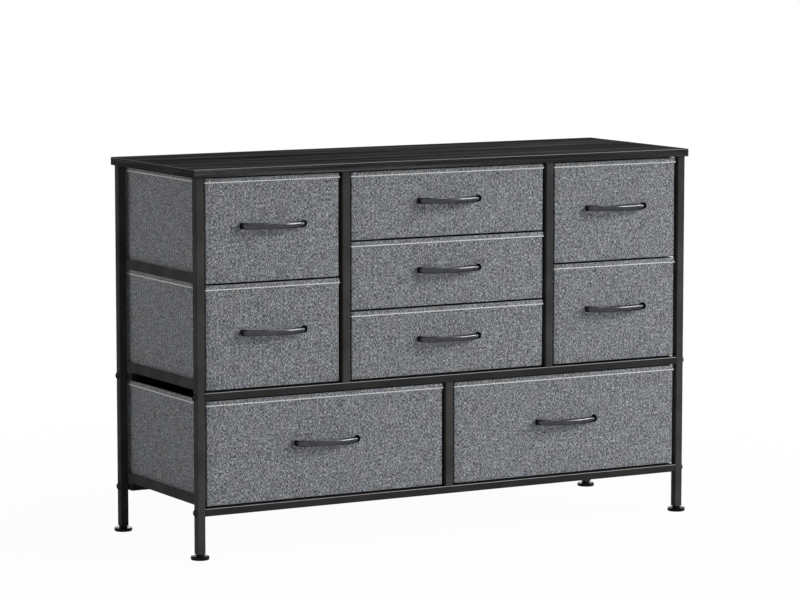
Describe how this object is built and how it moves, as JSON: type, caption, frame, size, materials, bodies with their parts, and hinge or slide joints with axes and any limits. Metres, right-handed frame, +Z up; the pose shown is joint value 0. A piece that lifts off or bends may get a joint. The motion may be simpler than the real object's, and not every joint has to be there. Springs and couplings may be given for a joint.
{
  "type": "fabric drawer dresser",
  "caption": "Wide dresser: a black steel tube frame on levelling feet carries grey fabric drawers with bow handles on angle runners under a dark wood-look top panel.",
  "frame": {"origin": "on the floor under the middle of the whole dresser, handles and feet included", "axes": "+X to the viewer's right along the width, -Y out of the drawer fronts, +Z up"},
  "size_m": [1.0046, 0.3586, 0.667],
  "materials": {
    "wood_look_board": "dark grained melamine laminate, satin",
    "black_steel": "fine black powder coat, satin",
    "bolt_steel": "black oxide, semi-gloss",
    "foot_plastic": "moulded black plastic, satin",
    "grey_fabric": "heather grey woven fabric over stiff walls",
    "stiffening_board": "raw fibreboard",
    "handle_metal": "smooth black, glossy"
  },
  "bodies": {
    "frame": {"top_panel": "wood_look_board", "left_side_frame": "black_steel", "right_side_frame": "black_steel", "upper_left_divider_frame": "black_steel", "upper_right_divider_frame": "black_steel", "lower_divider_frame": "black_steel", "front_mid_rail": "black_steel", "back_mid_rail": "black_steel", "front_bottom_rail": "black_steel", "back_bottom_rail": "black_steel", "bolt_left_front_mid": "bolt_steel", "bolt_left_front_bottom": "bolt_steel", "bolt_left_back_mid": "bolt_steel", "bolt_left_back_bottom": "bolt_steel", "bolt_right_front_mid": "bolt_steel", "bolt_right_front_bottom": "bolt_steel", "bolt_right_back_mid": "bolt_steel", "bolt_right_back_bottom": "bolt_steel"},
    "left_lower_drawer": {"left_lower_drawer_fabric_box": "grey_fabric", "left_lower_drawer_front_board": "stiffening_board", "left_lower_drawer_base_board": "stiffening_board", "left_lower_drawer_handle": "handle_metal"},
    "left_top_drawer": {"left_top_drawer_fabric_box": "grey_fabric", "left_top_drawer_front_board": "stiffening_board", "left_top_drawer_base_board": "stiffening_board", "left_top_drawer_handle": "handle_metal"},
    "centre_lower_drawer": {"centre_lower_drawer_fabric_box": "grey_fabric", "centre_lower_drawer_front_board": "stiffening_board", "centre_lower_drawer_base_board": "stiffening_board", "centre_lower_drawer_handle": "handle_metal"},
    "centre_middle_drawer": {"centre_middle_drawer_fabric_box": "grey_fabric", "centre_middle_drawer_front_board": "stiffening_board", "centre_middle_drawer_base_board": "stiffening_board", "centre_middle_drawer_handle": "handle_metal"},
    "centre_top_drawer": {"centre_top_drawer_fabric_box": "grey_fabric", "centre_top_drawer_front_board": "stiffening_board", "centre_top_drawer_base_board": "stiffening_board", "centre_top_drawer_handle": "handle_metal"},
    "right_lower_drawer": {"right_lower_drawer_fabric_box": "grey_fabric", "right_lower_drawer_front_board": "stiffening_board", "right_lower_drawer_base_board": "stiffening_board", "right_lower_drawer_handle": "handle_metal"},
    "right_top_drawer": {"right_top_drawer_fabric_box": "grey_fabric", "right_top_drawer_front_board": "stiffening_board", "right_top_drawer_base_board": "stiffening_board", "right_top_drawer_handle": "handle_metal"},
    "bottom_left_drawer": {"bottom_left_drawer_fabric_box": "grey_fabric", "bottom_left_drawer_front_board": "stiffening_board", "bottom_left_drawer_base_board": "stiffening_board", "bottom_left_drawer_handle": "handle_metal"},
    "bottom_right_drawer": {"bottom_right_drawer_fabric_box": "grey_fabric", "bottom_right_drawer_front_board": "stiffening_board", "bottom_right_drawer_base_board": "stiffening_board", "bottom_right_drawer_handle": "handle_metal"},
    "foot_left_front": {"foot_left_front": "foot_plastic"},
    "foot_left_back": {"foot_left_back": "foot_plastic"},
    "foot_right_front": {"foot_right_front": "foot_plastic"},
    "foot_right_back": {"foot_right_back": "foot_plastic"}
  },
  "joints": [
    {"name": "left_lower_drawer_slide", "type": "slide", "parent": "frame", "child": "left_lower_drawer", "axis": [0, -1, 0], "range_m": [0, 0.22]},
    {"name": "left_top_drawer_slide", "type": "slide", "parent": "frame", "child": "left_top_drawer", "axis": [0, -1, 0], "range_m": [0, 0.22]},
    {"name": "centre_lower_drawer_slide", "type": "slide", "parent": "frame", "child": "centre_lower_drawer", "axis": [0, -1, 0], "range_m": [0, 0.22]},
    {"name": "centre_middle_drawer_slide", "type": "slide", "parent": "frame", "child": "centre_middle_drawer", "axis": [0, -1, 0], "range_m": [0, 0.22]},
    {"name": "centre_top_drawer_slide", "type": "slide", "parent": "frame", "child": "centre_top_drawer", "axis": [0, -1, 0], "range_m": [0, 0.22]},
    {"name": "right_lower_drawer_slide", "type": "slide", "parent": "frame", "child": "right_lower_drawer", "axis": [0, -1, 0], "range_m": [0, 0.22]},
    {"name": "right_top_drawer_slide", "type": "slide", "parent": "frame", "child": "right_top_drawer", "axis": [0, -1, 0], "range_m": [0, 0.22]},
    {"name": "bottom_left_drawer_slide", "type": "slide", "parent": "frame", "child": "bottom_left_drawer", "axis": [0, -1, 0], "range_m": [0, 0.22]},
    {"name": "bottom_right_drawer_slide", "type": "slide", "parent": "frame", "child": "bottom_right_drawer", "axis": [0, -1, 0], "range_m": [0, 0.22]},
    {"name": "foot_left_front_level", "type": "slide", "parent": "frame", "child": "foot_left_front", "axis": [0, 0, -1], "range_m": [0, 0.01]},
    {"name": "foot_left_back_level", "type": "slide", "parent": "frame", "child": "foot_left_back", "axis": [0, 0, -1], "range_m": [0, 0.01]},
    {"name": "foot_right_front_level", "type": "slide", "parent": "frame", "child": "foot_right_front", "axis": [0, 0, -1], "range_m": [0, 0.01]},
    {"name": "foot_right_back_level", "type": "slide", "parent": "frame", "child": "foot_right_back", "axis": [0, 0, -1], "range_m": [0, 0.01]}
  ]
}
